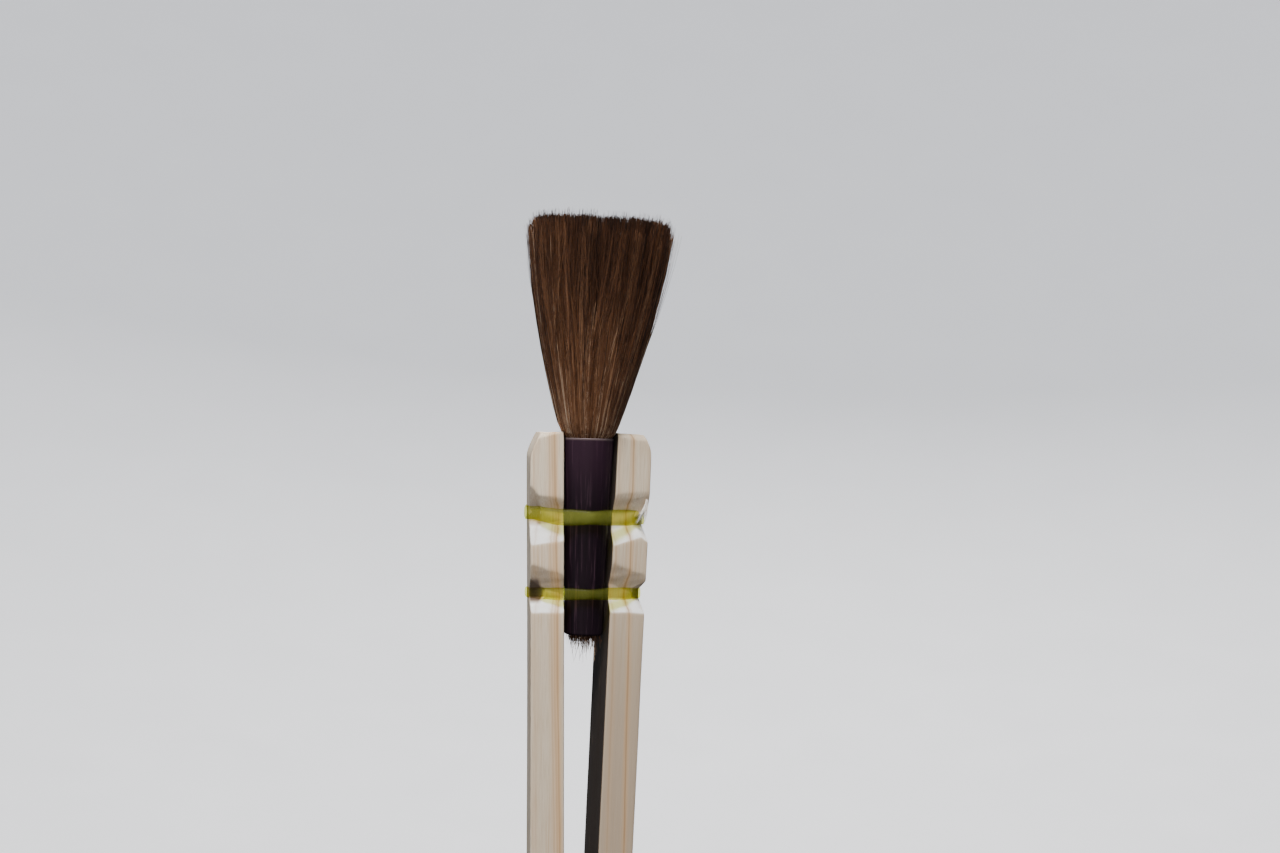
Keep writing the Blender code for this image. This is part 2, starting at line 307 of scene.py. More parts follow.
def sleeve_material():
    """Dark aubergine tubing, finely drawn along its length: pale streaks partly painted highlights, painted
    light on its upper part and a painted highlight on its lip.
    """
    m = Shader("sleeve_skin")
    where = m.node("ShaderNodeTexCoord").outputs["Object"]
    drawn_and_sheen = m.noise(m.stretched(where, (2600.0, 2600.0, 60.0)), 1.0, 3.0, 0.6)
    blotch = m.noise(m.stretched(where, (260.0, 260.0, 90.0)), 1.0, 2.0)
    # The drawn streaks' pale tone is partly painted highlight along the tube.
    colour = m.ramp(drawn_and_sheen, SLEEVE_COLOURS)
    height = m.attribute("height")
    # Painted light: the upper part is painted lighter, as the light falls from above.
    colour = m.mix(m.times(m.fade(height, 0.60, 0.98), 0.60), colour, (0.038, 0.0165, 0.030))
    colour = m.mix(m.times(m.fade(blotch, 0.55, 0.8), 0.3), colour, (0.016, 0.011, 0.015))
    # Painted highlight on the lip.
    colour = m.mix(m.times(m.fade(height, 0.985, 0.998), 0.3), colour, (0.34, 0.27, 0.25))
    m.set(Base_Color=colour, Roughness=0.56, Specular_IOR_Level=0.09)
    m.bump(drawn_and_sheen, 0.25, 0.00006)
    return m.material


HAIR_COLOURS = [
    (0.00, (0.006, 0.003, 0.002)),
    (0.28, (0.024, 0.009, 0.005)),
    (0.50, (0.074, 0.029, 0.012)),
    (0.70, (0.175, 0.075, 0.033)),
    (0.86, (0.340, 0.190, 0.105)),
    (1.00, (0.640, 0.480, 0.350)),
]


def hair_material(name):
    """Hair whose colour runs from near black to pale tan with the strand's own tint."""
    m = Shader(name)
    where = m.node("ShaderNodeTexCoord").outputs["Object"]
    mottle = m.noise(m.stretched(where, (1500.0, 1500.0, 160.0)), 1.0, 2.0)
    tint = m.math("ADD", m.attribute("tint"), m.times(m.math("SUBTRACT", mottle, 0.5), 0.16))
    m.set(Base_Color=m.ramp(tint, HAIR_COLOURS), Roughness=0.38, Specular_IOR_Level=0.30)
    return m.material


def thread_material():
    m = Shader("cotton_thread")
    where = m.node("ShaderNodeTexCoord").outputs["Object"]
    lint = m.noise(m.stretched(where, (4200.0, 4200.0, 9000.0)), 1.0, 3.0)
    m.set(Base_Color=m.ramp(lint, [(0.3, (0.50, 0.43, 0.31)), (0.7, (0.80, 0.73, 0.60))]), Roughness=0.88)
    m.bump(lint, 0.5, 0.00004)
    return m.material


# ---------------- sticks

class Stick:
    """One square stick: u runs from its inner face outwards, v from front to back, s along its length."""

    def __init__(self, node, turn, outward, lean):
        tilt = Matrix.Rotation(lean, 3, "Y")
        turned = Matrix.Rotation(turn, 3, "Z")
        self.out = np.array(tilt @ turned @ Vector((outward, 0, 0)))
        self.back = np.array(tilt @ turned @ Vector((0, 1, 0)))
        self.up = np.array(tilt @ Vector((0, 0, 1)))
        axes = np.stack([self.out, self.back, self.up], -1)
        corners = np.array([vertex.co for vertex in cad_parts[node].data.vertices]) @ axes
        low, high = corners.min(0), corners.max(0)
        self.corner = axes @ np.array([low[0], low[1], 0.0])
        self.width, self.depth = high[0] - low[0], high[1] - low[1]
        self.length = high[2]

    def place(self, u, v, s):
        u, v, s = (np.asarray(value)[..., None] for value in (u, v, s))
        return self.corner + u * self.out + v * self.back + s * self.up

    def station(self, z):
        """How far along the stick a height is."""
        return z / self.up[2]


class Cut:
    """A V cut with a flat floor. Its floor and both flanks are planes, and each may be skewed across."""

    def __init__(self, depth, floor, above, below, skews=(0.0, 0.0, 0.0), shift=0.0):
        self.depth, self.floor, self.above, self.below = depth * MM, floor * MM, above * MM, below * MM
        self.skews, self.shift = skews, shift * MM

    def depths(self, s, centre):
        """How deep the floor, the upper flank and the lower flank are at s, below zero outside the cut."""
        over = s - centre - self.shift
        above = self.depth * (1 - (over - self.floor) / (self.above - self.floor))
        below = self.depth * (1 - (-over - self.floor) / (self.below - self.floor))
        return self.depth + 0 * s, above, below


class Notch:
    """A hand-cut notch for a band: one cut across the front, and one across the outer front corner."""

    def __init__(self, band, front, corner, stain=0.0, shade_and_wear=0.0):
        low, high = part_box(band)
        self.z = (low.z + high.z) / 2
        self.front, self.corner = front, corner
        # How much painted shade the corner cut gets, and how much painted shade darkens the flanks that face
        # down.
        self.stain, self.shade_and_wear = stain, shade_and_wear


SHARPNESS = 46  # higher makes crisper edges between a stick's planes
EDGE_BREAK = 0.13 * MM
CORNER_SLOPE = np.array([0.625, -0.780])  # the corner cut's direction, in u and v
ANGLES_TO_A_SIDE = 32
FINE_STEP, COARSE_STEP = 0.11 * MM, 0.55 * MM
NOTCH_REACH, TOP_REACH, BUTT_REACH = 5.5 * MM, 4.5 * MM, 1.0 * MM  # where the rings lie close together
CUT_REACH = 5 * MM  # a notch's marks go no further from its band
BUTT_BEVEL, BUTT_BEVEL_SLOPE = 0.35 * MM, 0.8
SHARP_ANGLE = math.radians(38)
# How uneven the hand work is, in metres.
SWAY, CHATTER, FIBRE_RELIEF, TOP_DIP = 0.00004, 0.00002, 0.000009, 0.00006


def ray_angles(stick):
    """Directions from the section's centre, close together near the stick's four edges."""
    along = np.sin(np.linspace(-math.pi / 2, math.pi / 2, ANGLES_TO_A_SIDE, endpoint=False))
    one = np.ones_like(along)
    us = np.concatenate([along, one, -along, -one]) * stick.width / 2
    vs = np.concatenate([-one, along, one, -along]) * stick.depth / 2
    return np.arctan2(vs, us)


def stations(stick, notches):
    """Heights of the rings, close together in the notches and at the top."""
    places = [0.0]
    while places[-1] < stick.length:
        s = places[-1]
        near_notch = any(abs(s - stick.station(notch.z)) < NOTCH_REACH for notch in notches)
        fine = near_notch or stick.length - s < TOP_REACH or s < BUTT_REACH
        places.append(s + (FINE_STEP if fine else COARSE_STEP))
    places[-1] = stick.length
    return np.array(places)


# Whittled top: (how far below the top a facet starts, how much it takes off at the top, its direction)
LEFT_TOP = [
    (4.2, 1.5, (1.0, -0.04)),
    (1.4, 0.9, (0.20, -0.98)),
    (0.8, 0.3, (-0.9, -0.3)),
    (1.3, 0.8, (0.5, 0.85)),
]
RIGHT_TOP = [
    (3.2, 1.3, (1.0, -0.10)),
    (1.1, 0.7, (0.05, -1.0)),
    (0.7, 0.3, (-0.95, 0.1)),
    (1.2, 0.8, (0.4, 0.9)),
]


def soft_minimum(distances):
    """The smallest of the distances, a little rounded where two of them are nearly equal."""
    total = sum(distance ** -float(SHARPNESS) for distance in np.broadcast_arrays(*distances))
    return total ** (-1 / SHARPNESS)


def carve(stick, notches, top_cuts, seed):
    """u, v and s of the stick's points ring by ring, and how deep each was cut into the bare stick."""
    angle = ray_angles(stick)[None, :]
    s = stations(stick, notches)[:, None]
    ray = np.stack(np.broadcast_arrays(np.cos(angle), np.sin(angle)), -1)
    half_u, half_v = stick.width / 2, stick.depth / 2

    def plane(normal, offset):
        """How far each ray goes before it meets the plane normal . x = offset."""
        toward = ray[..., 0] * normal[0] + ray[..., 1] * normal[1]
        hit = offset / np.maximum(toward, 1e-9)
        return np.where(toward > 1e-6, np.clip(hit, 1e-5, 1.0), 1.0)

    def direction(u, v):
        size = math.hypot(u, v)
        return (u / size, v / size)

    sway = SWAY * waves(s * 90, 0 * s, seed=seed)
    limits = [
        plane((-1, 0), half_u + 0 * s),
        plane((1, 0), half_u + sway),
        plane((0, -1), half_v + 0 * s),
        plane((0, 1), half_v + sway),
    ]
    for su, sv in ((1, 1), (1, -1), (-1, 1), (-1, -1)):
        edge = half_u + half_v - EDGE_BREAK * (1 + 0.35 * waves(s * 240, 0 * s, seed=seed + su + 3 * sv))
        limits.append(plane(direction(su, sv), edge / math.sqrt(2)))
    bare = soft_minimum(limits)
    for notch in notches:
        centre = stick.station(notch.z)
        chatter = CHATTER * waves(s * 2600, angle * 1.5, seed=seed + 5)
        # The wood that is left lies behind the floor or behind either flank, so the furthest of them counts.
        front = [
            plane(direction(skew, -1), half_v - depth + chatter)
            for depth, skew in zip(notch.front.depths(s, centre), notch.front.skews)
        ]
        corner_support = half_u * CORNER_SLOPE[0] - half_v * CORNER_SLOPE[1]
        corner = [
            plane(direction(CORNER_SLOPE[0] + skew, CORNER_SLOPE[1]), corner_support - depth + chatter)
            for depth, skew in zip(notch.corner.depths(s, centre), notch.corner.skews)
        ]
        limits.append(np.maximum.reduce(np.broadcast_arrays(*front)))
        limits.append(np.maximum.reduce(np.broadcast_arrays(*corner)))
    for below, taken, normal in top_cuts:
        rise = (s - (stick.length - below * MM)) / (below * MM)
        support = abs(normal[0]) * half_u + abs(normal[1]) * half_v
        bow = np.sign(rise) * np.abs(rise) ** 1.5
        limits.append(plane(direction(*normal), (support - bow * taken * MM) / math.hypot(*normal)))
    radius = soft_minimum(limits)
    taken = bare - radius
    fibre = waves(angle * 38, s * 55, count=9, seed=seed + 9)
    radius = radius + FIBRE_RELIEF * fibre
    radius = np.where(s < BUTT_BEVEL, radius - (BUTT_BEVEL - s) * BUTT_BEVEL_SLOPE, radius)
    u = half_u + radius * np.cos(angle)
    v = half_v + radius * np.sin(angle)
    return u, v, np.broadcast_to(s, u.shape).copy(), taken


def cut_marks(stick, notches, u, v, s, taken):
    """How much painted shade in the corner cut, painted light on the flanks that face up and painted shade on
    those that face down each point gets, from 0 to 1, by where it lies in the notches.
    """
    stain, fresh_and_lit, shade_and_wear = (np.zeros(u.shape) for _ in range(3))
    cut = smoothstep(taken, 0.02 * MM, 0.10 * MM)
    outer = smoothstep(u + v * 0.8, stick.width - 1.2 * MM, stick.width - 0.5 * MM)
    outer = outer * smoothstep(v, 0.2 * MM, 0.6 * MM)
    for notch in notches:
        over = s - stick.station(notch.z)
        near = cut * (np.abs(over) < CUT_REACH)
        below_floor = smoothstep(-over, notch.front.floor * 0.8, notch.front.floor * 1.6)
        above_floor = smoothstep(over, notch.front.floor * 0.3, notch.front.floor * 1.3)
        # Painted shade in the corner cut, from just below the band up along its upper flank.
        corner_shade_span = smoothstep(over, -1.5 * MM, -0.8 * MM) * (1 - smoothstep(over, 1.6 * MM, 3.0 * MM))
        stain = np.maximum(stain, notch.stain * near * outer * corner_shade_span)
        # Painted light on the flanks below the floor, which face up, and painted shade on those above it,
        # which face down.
        fresh_and_lit = np.maximum(fresh_and_lit, 0.90 * near * below_floor)
        shade_and_wear = np.maximum(shade_and_wear, notch.shade_and_wear * near * above_floor)
    return stain, fresh_and_lit * (1 - stain), shade_and_wear * (1 - stain)


def build_stick(name, node, stick, notches, top_cuts, material, seed):
    u, v, s, taken = carve(stick, notches, top_cuts, seed)
    rings = stick.place(u, v, s)
    rings[..., 2] = np.maximum(rings[..., 2], 0)
    rings[0, :, 2] = 0
    top_dip = TOP_DIP * waves(u[-1] * 1500, v[-1] * 1500, seed=seed + 2)
    rings[-1] += top_dip[:, None] * stick.up
    fields = [u, v, s, *cut_marks(stick, notches, u, v, s, taken)]
    if np.linalg.det([stick.out, stick.back, stick.up]) < 0:  # the left stick's axes are a mirror image
        rings = rings[:, ::-1]
        fields = [field[:, ::-1] for field in fields]
    points, faces = skin(rings)
    obj = new_object(name, points, faces, material)
    obj.data.set_sharp_from_angle(angle=SHARP_ANGLE)
    fields = [np.concatenate([field.ravel(), [field[0].mean(), field[-1].mean()]]) for field in fields]
    point_attribute(obj, "grain", np.stack(fields[:3], -1) / MM)
    for label, field in zip(("stain", "fresh_and_lit", "shade_and_wear"), fields[3:]):
        point_attribute(obj, label, field)
    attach(obj, node)
    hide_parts(node)
    return rings


# ---------------- strands

def strand_mesh(name, paths, radii, tints, material, sides=3, tip=0.35):
    """Thin tapering strands along paths, an array of strands by points by x, y, z."""
    count, steps = paths.shape[:2]
    turn = rng.uniform(0, math.tau, (count, 1, 1)) + math.tau * np.arange(sides) / sides
    taper = 1 - (1 - tip) * smoothstep(np.linspace(0, 1, steps), 0.55, 1.0)
    size = radii[:, None, None] * taper[None, :, None]
    points = np.repeat(paths[:, :, None, :], sides, 2)
    points[..., 0] += size * np.cos(turn)
    points[..., 1] += size * np.sin(turn)
    index = np.arange(count * steps * sides).reshape(count, steps, sides)
    low, high = index[:, :-1], index[:, 1:]
    rising = paths[:, -1, 2] >= paths[:, 0, 2]
    quads = ring_quads(low, high)
    quads[~rising] = quads[~rising][..., ::-1]
    # No end faces: their normals would tilt the sides' rounded shading, and the tips would shine.
    obj = new_object(name, points.reshape(-1, 3), [quads.reshape(-1, 4)], material)
    if tints.ndim == 1:
        tints = np.repeat(tints[:, None], steps, 1)
    point_attribute(obj, "tint", np.repeat(tints[:, :, None], sides, 2).ravel())
    unwrap_strands(obj, count, steps, sides)
    return obj


def unwrap_strands(obj, count, steps, sides):
    """Lays each strand flat in a texture cell of its own, so the unwrap is quick and never overlaps."""
    columns = math.ceil(math.sqrt(count * 2.2))
    rows = math.ceil(count / columns)
    cell = np.arange(count)
    left, low = (cell % columns) / columns, (cell // columns) / rows
    across = (np.arange(sides)[:, None] + np.array([0.04, 0.96, 0.96, 0.04])) / sides
    along = (np.arange(steps - 1)[:, None] + np.array([0.0, 0.0, 1.0, 1.0])) / (steps - 1)
    side_u = left[:, None, None, None] + (0.08 + 0.84 * across)[None, None] / columns
    side_v = low[:, None, None, None] + (0.06 + 0.88 * along)[None, :, None] / rows
    uv = np.stack(np.broadcast_arrays(side_u, side_v), -1)
    layer = obj.data.uv_layers.new(name="OFBake")
    layer.data.foreach_set("uv", uv.astype(np.float32).ravel())


# ---------------- splinters

SPLINTERS, SPLINTER_STEPS, SPLINTER_SIDES = 15, 7, 5


def build_splinters(stick, notch, material):
    """Torn fibres that hang from the right stick's outer corner over the upper band's end."""
    count = SPLINTERS
    share = np.linspace(0, 1, SPLINTER_STEPS)[None, :]
    start_u = stick.width - rng.uniform(0.10, 0.60, count)[:, None] * MM
    end_u = start_u - rng.uniform(0.5, 1.5, count)[:, None] * MM
    u = start_u + (end_u - start_u) * share ** 1.3
    bow = rng.uniform(0.05, 0.45, count)[:, None] * MM
    v = 0.25 * MM - bow * np.sin(math.pi * share * 0.8) + 0.55 * MM * share
    top = stick.station(notch.z) + rng.uniform(2.0, 2.9, count)[:, None] * MM
    s = top - rng.uniform(2.2, 3.6, count)[:, None] * MM * share
    paths = stick.place(u, v, s)
    radii = rng.uniform(0.03, 0.10, count) * MM
    obj = strand_mesh("splinters", paths, radii, np.ones(count), material, sides=SPLINTER_SIDES, tip=0.12)
    grain = np.repeat(np.stack([u, v, s], -1)[:, :, None], SPLINTER_SIDES, 2).reshape(-1, 3)
    point_attribute(obj, "grain", grain / MM)
    # The splinters take part of the fresh cuts' pale colour, which also carries painted light.
    point_attribute(obj, "fresh_and_lit", np.full(len(grain), 0.7))
    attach(obj, "right_stick")
    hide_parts("right_stick")


# ---------------- between the sticks

INNER_FACES = []  # each stick's inner face: its corner point, its normal away from the axis, its top
STEEPEST_FLARE = 0.52  # above the sticks' tops, how fast the room widens with the height


def keep_between_sticks(points, clearance):
    """Moves points back in between the two inner faces, or above their tops into the wider room there."""
    for corner, outward, top in INNER_FACES:
        room = STEEPEST_FLARE * np.maximum(points[..., 2] - top, 0)
        past = np.maximum((points - corner) @ outward + clearance - room, 0)
        points = points - past[..., None] * outward
    return points


# ---------------- tuft

BASE_RADIUS, FLARE, FLARE_LOSS = 3.75 * MM, 0.326, 3.6  # radius = base + FLARE * h - FLARE_LOSS * h * h
MOUTH_NECK, NECK_HEIGHT = 0.42 * MM, 0.5 * MM  # the hair is this much slimmer where the sleeve holds it
CUT_SLOPE = math.radians(2.4)
LEAN, LEAN_POWER = 1.3 * MM, 1.2
ROOT_DEPTH, ROOT_TAPER = 3.0 * MM, 0.02  # how far down in the sleeve the hair starts, and how it narrows
COAT_STRANDS, CORE_STRANDS, STRAY_STRANDS = 9600, 2700, 420
COAT_PIECES = 4
CLUMPS = 620
HAIR_STEPS = 12
HAIR_RADIUS = 0.043 * MM
HAIR_CLEARANCE = 0.10 * MM


def tuft_radius(h):
    """The tuft's radius at a height above the mouth, or below it, where h is negative."""
    neck = MOUTH_NECK * np.exp(-np.maximum(h, 0) / NECK_HEIGHT)
    outside = BASE_RADIUS + FLARE * h - FLARE_LOSS * h * h - neck
    return np.where(h < 0, BASE_RADIUS - MOUTH_NECK + ROOT_TAPER * h, outside)


def lean_at(h):
    """How far the whole tuft leans to the right at a height above the mouth."""
    return LEAN * (np.maximum(h, 0) / TUFT_LENGTH) ** LEAN_POWER


# Where a strand's points are between the mouth and its tip: close together at the neck.
STRAND_SHARES = np.concatenate([[0.0], np.linspace(0, 1, HAIR_STEPS - 1) ** 1.6])


def strand_heights(length):
    """Heights above the mouth of each strand's points. The first one is down in the sleeve."""
    heights = length[:, None] * STRAND_SHARES[None, :]
    heights[:, 0] = -ROOT_DEPTH
    return heights


def disc(radius, angle):
    return np.stack([radius * np.cos(angle), radius * np.sin(angle)], -1)


def clump_centres():
    """Places in a unit disc that the hairs gather to, most of them near its rim, where they are seen."""
    radius = rng.uniform(0.15, 1.0, CLUMPS) ** 0.42
    return disc(radius, rng.uniform(0, math.tau, CLUMPS)), rng.normal(0, 1, CLUMPS)


def tuft_paths(foot, centres, pull, wander, length):
    """Hairs that rise from the sleeve, flare with the tuft and gather into clumps on the way."""
    count = len(foot)
    t = STRAND_SHARES[None, :]
    h = strand_heights(length)
    nearest = np.argmin(((foot[:, None] - centres[None]) ** 2).sum(-1), 1)
    gather = (pull[:, None] * smoothstep(h, 0.0, 0.75 * TUFT_LENGTH))[..., None]
    unit = foot[:, None] + (centres[nearest] - foot)[:, None] * gather
    spread = smoothstep(h, 0.0, TUFT_LENGTH)[..., None]
    drift = rng.normal(0, 1, (count, 1, 2)) * wander[:, None, None] * spread
    curl = rng.normal(0, 1, (count, 1, 2)) * 0.35 * wander[:, None, None]
    swing = np.sin(math.pi * t * rng.uniform(0.8, 1.7, (count, 1)) + rng.uniform(0, math.tau, (count, 1)))
    unit = unit + drift + curl * (swing * smoothstep(h, 0.0, 6 * MM))[..., None]
    across = unit * tuft_radius(h)[..., None]
    lean = lean_at(h)
    return np.concatenate([across + np.stack([lean, 0 * lean], -1), (MOUTH_Z + h)[..., None]], -1), nearest


def cut_length(foot):
    """The tuft is cut flat but for a slight slope, and its rim is a little worn."""
    rim = np.linalg.norm(foot, axis=-1)
    x = foot[:, 0] * tuft_radius(TUFT_LENGTH)
    level = TUFT_LENGTH - 0.75 * MM - x * math.tan(CUT_SLOPE)
    shade_and_wear = 3.2 * MM * (np.clip(rim - 0.84, 0, 0.2) / 0.17) ** 2.6
    ragged = np.abs(rng.normal(0, 0.40 * MM, len(foot)))
    ragged = ragged + 0.16 * MM * waves(foot[:, 0] * 9, foot[:, 1] * 9, seed=3)
    long_ones = 0.8 * MM * (rng.uniform(0, 1, len(foot)) < 0.05)
    return level - shade_and_wear - ragged + long_ones


def hair_tint(nearest, clump_tone, depth):
    """The strands' tints: each clump has its tone, painted light makes hair paler near the sleeve, and
    painted shade darker inside.
    """
    tone = 0.435 + 0.145 * clump_tone[nearest] + 0.100 * rng.normal(0, 1, len(nearest))
    # Painted shade: hairs away from the outside are painted darker.
    tone = tone - 0.26 * smoothstep(1 - depth, 0.03, 0.26)
    # Painted light: the hair is paler near the sleeve, where the tuft is lit more than at its top.
    painted_base_light = 0.35 * np.exp(-(STRAND_SHARES / 0.32) ** 1.5)
    return np.clip(tone[:, None] + painted_base_light[None, :], 0.03, 0.97)


def finish_hair(obj, slot, *nodes):
    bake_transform(obj)
    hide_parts(*nodes)


def build_tuft(material):
    centres, tone = clump_centres()
    # Each layer: name, strands, inner and outer edge, pull to the clumps, wander, pieces
    layers = (
        ("coat_hair", COAT_STRANDS, 0.66, 1.0, 0.55, 0.027, COAT_PIECES),
        ("core_hair", CORE_STRANDS, 0.0, 0.66, 0.45, 0.030, 1),
    )
    for name, count, inner, outer, pull, wander, pieces in layers:
        radius = np.sqrt(rng.uniform(inner ** 2, outer ** 2, count))
        foot = disc(radius, rng.uniform(0, math.tau, count))
        pulls = np.clip(rng.normal(pull, 0.20, count), 0, 0.95)
        wanders = np.abs(rng.normal(wander, wander * 0.6, count))
        paths, nearest = tuft_paths(foot, centres, pulls, wanders, cut_length(foot))
        paths = keep_between_sticks(paths, HAIR_CLEARANCE)
        tints = hair_tint(nearest, tone, radius)
        radii = HAIR_RADIUS * rng.uniform(0.75, 1.25, count)
        order = np.argsort(np.arctan2(foot[:, 1], foot[:, 0]))
        for number, part in enumerate(np.array_split(order, pieces), 1):
            piece = strand_mesh(f"{name}_strands_{number}", paths[part], radii[part], tints[part], material)
            finish_hair(piece, name, name)


LOCKS, HAIRS_IN_LOCK = 240, 5


def build_strays(material):
    """Pale locks that wander across the outside, and single hairs that stand a little off it."""
    together, alone = np.repeat(np.arange(LOCKS), HAIRS_IN_LOCK), np.arange(LOCKS, LOCKS + STRAY_STRANDS)
    lock = np.concatenate([together, alone])
    count, kinds = len(lock), LOCKS + STRAY_STRANDS
    length = (TUFT_LENGTH * np.clip(rng.uniform(0.40, 1.35, kinds), 0, 0.93))[lock]
    length = length - np.abs(rng.normal(0, 1.4 * MM, count))
    heights = strand_heights(length)
    rise = smoothstep(heights, 0.0, TUFT_LENGTH)
    start = rng.uniform(0, math.tau, kinds)[lock] + rng.normal(0, 0.016, count)
    sweep = rng.normal(0, 0.21, kinds)[lock] + rng.normal(0, 0.018, count)
    phase, sway = rng.uniform(0, math.tau, kinds)[lock], rng.normal(0, 0.055, kinds)[lock]
    wander = sway[:, None] * (np.sin(heights / TUFT_LENGTH * 7 + phase[:, None]) - np.sin(phase)[:, None])
    angle = start[:, None] + sweep[:, None] * rise + wander * smoothstep(heights, 0, 5 * MM)
    single = lock >= LOCKS
    off = np.where(single & (rng.uniform(0, 1, count) < 0.30), rng.uniform(0.02, 0.11, count), 0.014)
    radius = tuft_radius(heights) * (0.992 + off[:, None] * rise)
    x = radius * np.cos(angle) + lean_at(heights)
    z = MOUTH_Z + heights - np.cos(angle) * tuft_radius(TUFT_LENGTH) * math.tan(CUT_SLOPE) * rise
    paths = keep_between_sticks(np.stack([x, radius * np.sin(angle), z], -1), HAIR_CLEARANCE)
    tone = 0.55 + 0.36 * rng.uniform(0, 1, kinds)[lock] ** 2 + rng.normal(0, 0.04, count)
    # Painted light: each stray is paler near the mouth than towards its tip, as the tuft is lit more at its
    # base.
    tints = np.clip(tone[:, None] - 0.16 * rise, 0.3, 1.0)
    radii = HAIR_RADIUS * rng.uniform(0.75, 1.2, count)
    finish_hair(strand_mesh("stray_hairs", paths, radii, tints, material), "coat_hair", "coat_hair")


PACKED_SHARE = 0.80  # of the tuft's radius
PACKED_BELOW_CUT = 3.0 * MM


def build_packed_hair(material):
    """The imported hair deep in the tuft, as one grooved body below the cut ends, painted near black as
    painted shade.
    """
    angle = full_turn(220)[None, :]
    h = np.concatenate([[-ROOT_DEPTH], np.linspace(0, TUFT_LENGTH - PACKED_BELOW_CUT, 44)])[:, None]
    groove = 1 + 0.05 * waves(angle * 34 + 0 * h, h * 60, seed=21)
    radius = PACKED_SHARE * tuft_radius(h) * groove
    fall = radius * np.cos(angle) * math.tan(CUT_SLOPE) * smoothstep(h, 0, TUFT_LENGTH)
    rings = round_rings(radius, angle, MOUTH_Z + h - fall)
    rings[..., 0] += lean_at(h)
    points, faces = skin(rings)
    obj = new_object("packed_hair", points, faces, material)
    # Painted shade: the body is painted near black.
    tint = 0.10 + 0.04 * waves(angle * 34 + 0 * h, h * 60, seed=22)
    point_attribute(obj, "tint", np.concatenate([tint.ravel(), [0.1, 0.1]]))
    finish_hair(obj, "core_hair", "core_hair")


# ---------------- sleeve, roots and thread

SLEEVE_WALL = 0.20 * MM
SLEEVE_CLEARANCE = 0.28 * MM
MOUTH_FULLNESS, FOOT_FULLNESS = 1.11, 1.04  # the free sides bulge out to this, against the CAD sleeve


def sleeve_radius(z):
    share = np.clip((MOUTH_Z - z) / (MOUTH_Z - SLEEVE_FOOT_Z), 0, 1)
    return MOUTH_RADIUS * (1 - (1 - FOOT_RADIUS_SHARE) * share)


def full_radius(z):
    """The sleeve's radius on its free sides, front and back, where no stick presses it flat."""
    share = (z - SLEEVE_FOOT_Z) / (MOUTH_Z - SLEEVE_FOOT_Z)
    return sleeve_radius(z) * (FOOT_FULLNESS + (MOUTH_FULLNESS - FOOT_FULLNESS) * share)


PINCH, PINCH_REACH = 0.10 * MM, 1.3 * MM  # how far a band presses into the sleeve, and over what height
LIP, LIP_HEIGHT = 0.10 * MM, 0.22 * MM  # how much the sleeve's wall thins at its rounded ends
FOOT_WAVE, FOOT_WAVE_HEIGHT = 0.10 * MM, 1.5 * MM


def build_sleeve(material, band_heights):
    """The sleeve's tube: slightly uneven, nipped in by the bands, with rounded lips and a ragged foot."""
    angle = full_turn(200)[None, :]
    z = np.linspace(SLEEVE_FOOT_Z, MOUTH_Z, 170)[:, None]
    pinch = sum(PINCH * np.exp(-((z - height) / PINCH_REACH) ** 2) for height in band_heights)
    creases = 0.022 * MM * waves(angle * 5, z * 190, seed=31)
    creases = creases + 0.010 * MM * waves(angle * 17, z * 70, seed=32)
    outer = full_radius(z) - pinch + creases
    lip = LIP * (1 - smoothstep(np.minimum(z - SLEEVE_FOOT_Z, MOUTH_Z - z), 0, LIP_HEIGHT))
    near_foot = 1 - smoothstep(z, SLEEVE_FOOT_Z, SLEEVE_FOOT_Z + FOOT_WAVE_HEIGHT)
    foot_wave = FOOT_WAVE * waves(angle * 3, 0 * angle, seed=33) * near_foot
    height = z + foot_wave + 0 * angle

    def rings(radius, clearance):
        return keep_between_sticks(round_rings(radius, angle, height), clearance)

    outside = rings(outer - lip * 0.5, SLEEVE_CLEARANCE)
    inside = rings(outer - SLEEVE_WALL + lip * 0.5, SLEEVE_CLEARANCE + SLEEVE_WALL)
    points, faces = skin(np.concatenate([outside, inside[::-1]]), closed=True)
    obj = new_object("sleeve_tube", points, faces, material)
    share = np.broadcast_to((z - SLEEVE_FOOT_Z) / (MOUTH_Z - SLEEVE_FOOT_Z), height.shape)
    point_attribute(obj, "height", np.concatenate([share, share[::-1]]).ravel())
    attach(obj, "head")
    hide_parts("sleeve")


ROOT_STRANDS, LONG_ROOTS, ROOT_STEPS = 420, 26, 7
ROOT_START = 2 * MM  # how far up in the sleeve the frayed roots begin
TIE_DEPTH, TIE_REACH = 0.55 * MM, 1.2 * MM  # how far the thread draws the roots in, and how soon that ends
ROOT_CLEARANCE = 0.12 * MM


